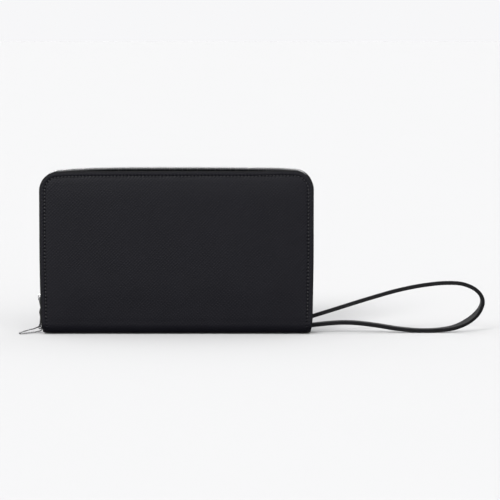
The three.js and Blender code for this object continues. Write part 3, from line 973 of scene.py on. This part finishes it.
def make_wrap(prefix, side):
    surface = Surface()
    stations = rim_stations(RIM_STEPS)
    along = stitch_places(stations)
    base = wrap_travel(CORNER_Z)
    places = top_places()
    block = []
    for travel in side_travels():
        block.append([(x, travel + arch_at(x) * (travel / base) ** 6) for x in places])

    def slot(i, j):
        return 1 if RIM_STEPS[j] < PAINTED_EDGE else 0

    def rim(i, j):
        return along[i], RIM_STEPS[j]

    seam = []
    for depth_of in (outer_depth, inner_depth):
        rows = [[wrap_point(side, x, travel, depth_of(x, travel, inset))
                 for (x, travel), inset in zip(line, RIM_STEPS)] for line in stations]
        surface.grid(rows, lambda i, j: stations[i][j], slot=slot, rim=rim)
        ends = (rows[0], rows[-1])
        rows = [[wrap_point(side, x, travel, depth_of(x, travel, COVER_CORNER)) for x, travel in line]
                for line in block]
        surface.grid(rows, lambda i, j: block[i][j])
        seam.append(ends[0][:-1] + rows[0] + ends[1][-2::-1])
    surface.grid(seam, lambda i, j: (seam[i][j].x, 0))
    wrap = surface.build(f"{prefix}_wrap", [wrap_leather, edge_paint], sharp=75)
    blend_half(wrap, prefix, side)
    stand_for(wrap, "outer_leather", f"{prefix}_cover", "spine_leather")


def blend_half(piece, prefix, side):
    """Bake the piece's placement into its mesh."""
    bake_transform(piece)


def make_rim_stitching(prefix, side):
    surface = Surface()
    foot = wrap_travel(STITCH_FOOT)
    line = [station[0] for station in rim_stations((STITCH_INSET,)) if station[0][1] >= foot]
    points = [wrap_point(side, x, travel, 0.13 - pillow(x, travel)) for x, travel in line]
    add_stitches(surface, points, (0, side, 0), STITCH_PITCH, STITCH_LENGTH, STITCH_RADIUS)
    surface.fix(f"{prefix}_rim_stitching", [thread], prefix, "outer_leather")


for prefix, side in SIDES:
    make_wrap(prefix, side)
    make_rim_stitching(prefix, side)


# ---------------- panels inside the covers


def make_panels(prefix, side):
    outline = arch_line(PANEL_HALF_WIDTH, PANEL_SHOULDER, 0, PANEL_CORNER, PANEL_BOTTOM, 12)
    board = Surface()
    slab(board, outline, *BOARD, upright(side), 0.2)
    board.fix(f"{prefix}_board", [card_board], prefix, "stiffener_card", f"{prefix}_stiffener_board")
    lining = Surface()
    slab(lining, outline, LINING[0], BOARD[0] - 0.05, upright(side), 0.35, 3)
    lining.fix(f"{prefix}_lining_cloth", [lining_cloth], prefix, "lining_cloth", f"{prefix}_lining")


def make_card_slots(prefix, side):
    """Stepped pockets with a doubled hem, divided by a sewn line down the middle."""
    seams = Surface()
    for number, (low, high, top) in enumerate(CARD_LAYERS, 1):
        surface = Surface()
        outline = round_box(-CARD_HALF_WIDTH, CARD_BOTTOM, CARD_HALF_WIDTH, top, 1.5)
        slab(surface, outline, low + 0.12, high, upright(side), 0.2)
        hem = round_box(-CARD_HALF_WIDTH + 0.05, top - HEM, CARD_HALF_WIDTH - 0.05, top + 0.05, 1.5)
        slab(surface, hem, low - 0.05, high - 0.3, upright(side), 0.2)
        name = f"{prefix}_card_pocket_{number}"
        surface.fix(name, [inner_leather], prefix, "slot_leather", f"{prefix}_card_slot_{number}")
        foot = CARD_LAYERS[number][2] + 1.5 if number < len(CARD_LAYERS) else CARD_BOTTOM + 1.5
        outer = CARD_HALF_WIDTH - SEAM_INSET
        rows = [[(x, low - 0.05, top - SEAM_INSET) for x in (2 - CARD_HALF_WIDTH, CARD_HALF_WIDTH - 2)]]
        rows += [[(x, low + 0.05, z) for z in (foot, top - 3)] for x in (0, -outer, outer)]
        for row in rows:
            fine_stitches(seams, [(x, side * depth, z) for x, depth, z in row], (0, -side, 0))
    seams.fix(f"{prefix}_card_stitching", [thread], prefix, "slot_leather")


def make_fold_lining(prefix, side):
    """Cloth over the inside of the fold, from the middle of the spine to the cover's lining."""
    inset = LEATHER + 0.6
    radius = BEND_RADIUS - inset
    profile = [(0, inset), (3, inset)] + arc(BEND_START, BEND_RADIUS, radius, -90, 0, 8)
    profile += [(11.8, 8.7), (11.2, 9.3), (10.6, 9.7), (10.25, 10.2), (10.2, 11), (10.2, 11.8)]
    places = spread(-PANEL_HALF_WIDTH + 0.4, PANEL_HALF_WIDTH - 0.4, 8)
    travel = distances(profile)
    rows = [[(x, side * y, z) for x in places] for y, z in profile]
    surface = Surface()
    shell(surface, rows, CLOTH * side, lambda i, j: (places[j], travel[i]))
    cloth = surface.build(f"{prefix}_fold_lining", [lining_cloth])
    blend_half(cloth, prefix, side)
    stand_for(cloth, "lining_cloth", "spine_lining")


for prefix, side in SIDES:
    make_panels(prefix, side)
    make_card_slots(prefix, side)
    make_fold_lining(prefix, side)


# ---------------- gussets


def make_gusset(prefix, side, end, sign):
    """A cloth fold between a cover's lining and the coin pocket, deep at the top and closed at the foot."""
    surface = Surface()
    heights = spread(GUSSET_FOOT, GUSSET_TOP, 4.5)
    rows = []
    for z in heights:
        share = (z - GUSSET_FOOT) / (GUSSET_TOP - GUSSET_FOOT)
        fold = GUSSET_EDGE - 2 - GUSSET_DEPTH * share
        waver = math.sin(z / 7.0)
        root = max(fold + 5, min(GUSSET_ROOT, fold + 0.5 + 19 * share))
        line = [(GUSSET_EDGE, 7.3), (GUSSET_EDGE - 2.5 - 0.5 * share, 7.25)]
        line += [(fold + 4, 6.5 + 0.07 * waver), (fold + 1.2, 6.1), (fold + 0.2, 5.7), (fold, 5.3)]
        line += [(fold + 0.2, 4.9), (fold + 1.2, 4.5), (fold + 4, 4.2 + 0.105 * waver)]
        line += [(root, 3.75), (root + 2.5, 3.7)]
        rows.append([(sign * x, side * y, z) for x, y in line])
    across = distances(rows[-1])
    shell(surface, rows, CLOTH * side * sign, lambda i, j: (across[j], heights[i]))
    cloth = surface.build(f"{prefix}_{end}_gusset", [lining_cloth])
    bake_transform(cloth)
    stand_for(cloth, "lining_cloth", f"gusset_{prefix}_{end}")


for prefix, side in SIDES:
    for end, sign in ENDS:
        make_gusset(prefix, side, end, sign)


# ---------------- main zip


def zip_line(bottom, step):
    line = arch_line(ZIP_HALF_WIDTH, ZIP_SHOULDER, ZIP_ARCH, ZIP_CORNER, bottom, step)
    return [Vector((x, 0, z)) for x, z in line]


def inwards_of(way):
    """The direction from the zip to the middle of the wallet, where the zip runs one way."""
    return Vector((way.z, 0, -way.x))


def make_zip_tape(prefix, side):
    """Twill tape, slightly hollow, from the teeth to the cover, with its ends tucked in."""
    points = zip_line(TAPE_FOOT, 3)
    width = TAPE_OUTER - TAPE_INNER
    rows = []
    bead = []
    for point, way in zip(points, ways(points)):
        inwards = inwards_of(way)
        tuck = 1.6 * (1 - smooth((point.z - TAPE_FOOT) / 8))
        row = []
        for share in spread(0, 1, 1 / TAPE_STEPS):
            hollow = 1.35 + 0.35 * math.sin(math.pi * share) + tuck
            row.append(point + inwards * hollow + Vector((0, side * (TAPE_INNER + width * share), 0)))
        rows.append(row)
        bead.append(point + inwards * BEAD_DEPTH + Vector((0, side * BEAD_PLACE, 0)))
    travel = distances(points)
    surface = Surface()
    shell(surface, rows, 0.55 * side, lambda i, j: (travel[i], j * width / TAPE_STEPS))
    sweep(surface, bead, ring(BEAD_RADIUS, 10), (0, 1, 0))
    surface.fix(f"{prefix}_zip_cloth", [tape_cloth], prefix, "zip_tape", f"{prefix}_zip_tape")
    seam = Surface()
    for row, following in zip(rows, rows[1:]):
        first, second = row[TAPE_STEPS - 1], following[TAPE_STEPS - 1]
        outwards = -inwards_of((second - first).normalized())
        line = [first + outwards * 0.05, second + outwards * 0.05]
        add_stitches(seam, line, outwards, (second - first).length, 2.2, FINE_RADIUS)
    seam.fix(f"{prefix}_zip_seam", [thread], prefix, "zip_tape")


def tooth_outline():
    """A tooth seen from outside: a round head past the middle and two legs clamped on the tape."""
    half = TOOTH_WIDTH / 2
    side = [(0.55, -0.42), (1, -0.1), (1, 0.75), (0.86, 1.25), (0.86, 2.3), (1, 2.6), (1, 3.35),
            (0.7, 3.55)]
    side = [(half * share, b) for share, b in side]
    return side + flipped(side)


def make_zip_row(prefix, side):
    """One row of teeth. The back row is half a tooth further on and has one tooth less."""
    surface = Surface()
    frames = resample(zip_line(ZIP_BOTTOM, 2), TOOTH_PITCH)
    shift = 0
    if side == BACK:
        frames = frames[:-1]
        shift = TOOTH_PITCH / 2
    for point, way in frames:

        def place(a, b, depth, point=point, way=way):
            return point + way * (shift + a) + inwards_of(way) * depth + Vector((0, side * b, 0))

        slab(surface, tooth_outline(), 0, TOOTH_DEPTH, place, 0.16)
    name = f"{prefix}_zip_row"
    surface.fix(name, [shaded_tooth_silver], prefix, "silver_teeth", f"{prefix}_zip_teeth", sharp=50)


def make_stops():
    """A clamp at the closed end of each row, and one block over both rows at the other end."""
    stops = [(f"{prefix}_top_clamp", prefix, side, 0.75, -ZIP_HALF_WIDTH, f"{prefix}_zip_top_stop")
             for prefix, side in SIDES]
    stops.append(("bottom_clamp", "back", BACK, -0.4, ZIP_HALF_WIDTH - TOOTH_DEPTH, "zip_bottom_stop"))
    for name, body, side, inner, x, node in stops:
        surface = Surface()
        outline = round_box(inner, STOP_LOW, 3.6, STOP_HIGH, 0.5)
        slab(surface, outline, x, x + TOOTH_DEPTH, endwise(side), 0.3)
        surface.fix(name, [shaded_tooth_silver], body, "silver_teeth", node)


def make_slider():
    """Two shield-shaped plates joined by a post, with lips over the back row."""
    surface = Surface()
    shield = [(2.9, 4.5), (3.7, 3.7), (3.9, 1.5), (4.4, -1.2), (4.4, -3.3), (3.6, -4.4), (1.4, -4.5)]
    shield = [(y, z + SLIDER_Z) for y, z in shield + [(0, -4.1)] + flipped(shield)]
    slab(surface, shield, SLIDER_FACE, SLIDER_FACE + SLIDER_PLATE, endwise(), 0.35, 3)
    slab(surface, shield, SLIDER_INSIDE - SLIDER_PLATE, SLIDER_INSIDE, endwise(), 0.3, 3)
    post = [(0.4, -4.0), (0.4, -1.0), (0.15, 0.2)]
    post = [(y, z + SLIDER_Z) for y, z in post + flipped(post)]
    slab(surface, post, SLIDER_FACE + 0.5, SLIDER_INSIDE - 0.5, endwise(), 0.1)
    lip = round_box(3.65, SLIDER_Z - 3.4, 4.35, SLIDER_Z + 3.6, 0.25)
    slab(surface, lip, SLIDER_INSIDE - 1.5, SLIDER_INSIDE - 0.5, endwise(), 0.15)
    surface.fix("slider_shell", [trim_silver], "slider", "silver_hardware", "zip_slider")


def make_bridge():
    """The small arch on the slider that the thong hangs from."""
    half = [(-2.2, -0.2), (-2.25, 1.0), (-2.15, 1.6), (-1.7, 1.95), (-0.8, 2.05)]
    path = [(SLIDER_FACE - out, 0, SLIDER_Z + z) for z, out in half + [(0, 2.08)] + flipped(half)]
    surface = Surface()
    sweep(surface, path, round_box(-0.6, -0.3, 0.6, 0.3, 0.2, 2), (0, 1, 0))
    surface.fix("slider_arch", [trim_silver], "slider", "silver_hardware", "zip_slider_bridge")


def make_thong():
    """A thin leather loop. It bows out over the arch and again halfway down."""
    top = SLIDER_Z - THONG_RADIUS
    low = BAR_PIVOT_Z + THONG_RADIUS
    down = [(-THONG_RADIUS, z) for z in spread(top, low, 1.2)[1:-1]]
    path = arc(0, top, THONG_RADIUS, 0, 180, 8) + down
    path += arc(0, low, THONG_RADIUS, 180, 360, 8) + flipped(down)
    bow = ((0, 0), (5.5, 0), (12.5, 0.55), (16.4, -0.15), (19.6, 0.75), (22.4, 0.3), (24, -0.05), (40, 0))
    points = [(THONG_X + table_value(bow, z), y, z) for y, z in path]
    surface = Surface()
    sweep(surface, points, round_box(-0.42, -0.4, 0.42, 0.4, 0.24, 2), (1, 0, 0), closed=True)
    surface.fix("thong_loop", [strap_leather], "thong", "outer_leather", "pull_thong")


def make_puller():
    """A slim tapered bar: two rails that meet at both ends, and a round eye at the thong."""
    tilt = math.asin((BAR_PIVOT_Z - BAR_TIP_Z) / BAR_REACH)
    level = Vector((-math.cos(BAR_YAW), -math.sin(BAR_YAW), 0))
    ahead = level * math.cos(tilt) - Vector((0, 0, math.sin(tilt)))
    across = Vector((-math.sin(BAR_YAW), math.cos(BAR_YAW), 0))
    up = across.cross(ahead)
    pivot = Vector((THONG_X, 0, BAR_PIVOT_Z))

    def put(a, b):
        return pivot + ahead * a + up * b

    surface = Surface()
    loop = [(-1.2, -2.0), (-0.6, -0.6), (1.2, 0.2), (6.5, -0.3), (12, -0.15), (17, 0.05), (20, 0.1),
            (20.9, -0.2), (20.9, -0.85), (20, -1.15), (17, -1.55), (12, -2.3), (6.5, -3.05), (1.2, -3.5),
            (-0.6, -3.1)]
    section = [(q, p) for p, q in round_box(-0.5, -0.6, 0.5, 0.6, 0.3, 2)]
    sweep(surface, [put(a, b) for a, b in loop], section, across, closed=True)
    eye = [put(a, b) for a, b in ring(1.9, 20)]
    sweep(surface, eye, round_box(-0.6, -0.4, 0.6, 0.4, 0.25, 2), across, closed=True)
    surface.fix("puller_bar", [trim_silver], "puller", "silver_hardware", "pull_bar")


for prefix, side in SIDES:
    make_zip_tape(prefix, side)
    make_zip_row(prefix, side)
make_stops()
make_slider()
make_bridge()
make_thong()
make_puller()


# ---------------- coin pocket


def make_pocket_wall(prefix, side):
    """A leather wall with a hem along its top, sewn twice along the hem and once down each end."""
    low, high = POCKET_WALL
    surface = Surface()
    wall = round_box(-POCKET_HALF, POCKET_BOTTOM, POCKET_HALF, POCKET_TOP, 2.5)
    slab(surface, wall, low, high, upright(side), 0.22)
    hem = round_box(-POCKET_HALF + 0.05, POCKET_TOP - 6, POCKET_HALF - 0.05, POCKET_TOP + 0.05, 2.4)
    slab(surface, hem, high - 0.3, high + 0.12, upright(side), 0.15)
    name = f"pocket_{prefix}_leather"
    surface.fix(name, [inner_leather], "spine", "slot_leather", f"coin_pocket_{prefix}_wall")
    seams = Surface()
    for z in (POCKET_TOP - SEAM_INSET, POCKET_TOP - 5):
        line = [(x, side * (high + 0.12), z) for x in (3 - POCKET_HALF, POCKET_HALF - 3)]
        fine_stitches(seams, line, (0, side, 0))
    for x in (SEAM_INSET - POCKET_HALF, POCKET_HALF - SEAM_INSET):
        line = [(x, side * high, z) for z in (POCKET_BOTTOM + 2, POCKET_TOP - 7)]
        fine_stitches(seams, line, (0, side, 0))
    seams.fix(f"pocket_{prefix}_stitching", [thread], "spine", "slot_leather")


def make_pocket_gusset():
    """The strip of cloth round the bottom and the two ends of the pocket."""
    inner = POCKET_HALF - 1.0
    half = [(POCKET_HALF, POCKET_BOTTOM), (POCKET_HALF, POCKET_TOP), (inner, POCKET_TOP),
            (inner, POCKET_BOTTOM + 1.0)]
    surface = Surface()
    slab(surface, half + flipped(half), -2.5, 2.5, upright(1), 0.2)
    surface.fix("pocket_gusset_cloth", [lining_cloth], "spine", "lining_cloth", "coin_pocket_gusset")


def make_coin_tape(prefix, side):
    strip = round_box(-COIN_ROW_HALF, COIN_TAPE_LOW, COIN_ROW_HALF, COIN_ROW_Z + 0.9, 0.8)
    surface = Surface()
    slab(surface, strip, *COIN_TAPE, upright(side), 0.15)
    surface.fix(f"coin_{prefix}_cloth", [tape_cloth], "spine", "zip_tape", f"coin_zip_{prefix}_tape")


def make_coin_row(prefix, side):
    """A straight row of smaller teeth. The back row is half a tooth further on."""
    surface = Surface()
    outline = [(a, b * 0.72) for a, b in tooth_outline()]
    start = 1 - COIN_ROW_HALF + (TOOTH_PITCH / 2 if side == BACK else 0)
    for number in range(int((2 * COIN_ROW_HALF - 3) / TOOTH_PITCH)):

        def place(a, b, depth, x=start + number * TOOTH_PITCH):
            return Vector((x + a, side * b, COIN_TOOTH_TOP - depth * 0.8))

        slab(surface, outline, 0, TOOTH_DEPTH, place, 0.16)
    name = f"coin_{prefix}_row"
    surface.fix(name, [shaded_tooth_silver], "spine", "silver_teeth", f"coin_zip_{prefix}_teeth", sharp=50)


def make_coin_slider():
    """A flat plate with a lip down each long side."""
    surface = Surface()
    half = [(-2.3, -3.4), (-3.0, -2.8), (-3.4, 0.5), (-3.4, 2.9), (-2.8, 3.5)]
    plate = [(COIN_SLIDER_X + x, y) for y, x in half + [(0, 3.2)] + flipped(half)]
    slab(surface, plate, COIN_SLIDER_Z, COIN_SLIDER_Z + 0.8, lying(), 0.25, 3)
    lip = round_box(COIN_SLIDER_X - 2.8, 2.75, COIN_SLIDER_X + 3.0, 3.3, 0.2)
    for side in (-1, 1):
        slab(surface, lip, COIN_SLIDER_Z - 1.7, COIN_SLIDER_Z + 0.4, lying(side), 0.15)
    surface.fix("coin_slider_shell", [trim_silver], "coin_slide", "silver_hardware", "coin_slider")


def make_coin_bridge():
    half = [(-2.1, 0.6), (-2.15, 1.9), (-1.9, 2.5), (-1.3, 2.8)]
    path = [(COIN_SLIDER_X + x, 0, COIN_SLIDER_Z + z) for x, z in half + [(0, 2.9)] + flipped(half)]
    surface = Surface()
    sweep(surface, path, round_box(-0.5, -0.25, 0.5, 0.25, 0.15, 2), (0, 1, 0))
    surface.fix("coin_slider_arch", [trim_silver], "coin_slide", "silver_hardware", "coin_slider_bridge")


def make_coin_pull():
    """A wire loop with a thin leaf in it."""
    half = [(1.2, -0.2), (1.55, 0.4), (1.65, 4), (1.7, 9), (1.7, 13.4), (1.3, 14.3)]
    points = [(COIN_SLIDER_X + x, y, COIN_PULL_Z) for y, x in half + [(0, 14.6)] + flipped(half)]
    surface = Surface()
    sweep(surface, points, round_box(-0.38, -0.4, 0.38, 0.4, 0.2, 2), (0, 0, 1), closed=True)
    leaf = round_box(COIN_SLIDER_X + 5, -1.6, COIN_SLIDER_X + 14.3, 1.6, 0.6)
    slab(surface, leaf, COIN_PULL_Z - 0.22, COIN_PULL_Z + 0.22, lying(), 0.1)
    surface.fix("coin_pull_tab", [trim_silver], "coin_tab", "silver_hardware", "coin_pull")


for prefix, side in SIDES:
    make_pocket_wall(prefix, side)
make_pocket_gusset()
for prefix, side in SIDES:
    make_coin_tape(prefix, side)
    make_coin_row(prefix, side)
make_coin_slider()
make_coin_bridge()
make_coin_pull()
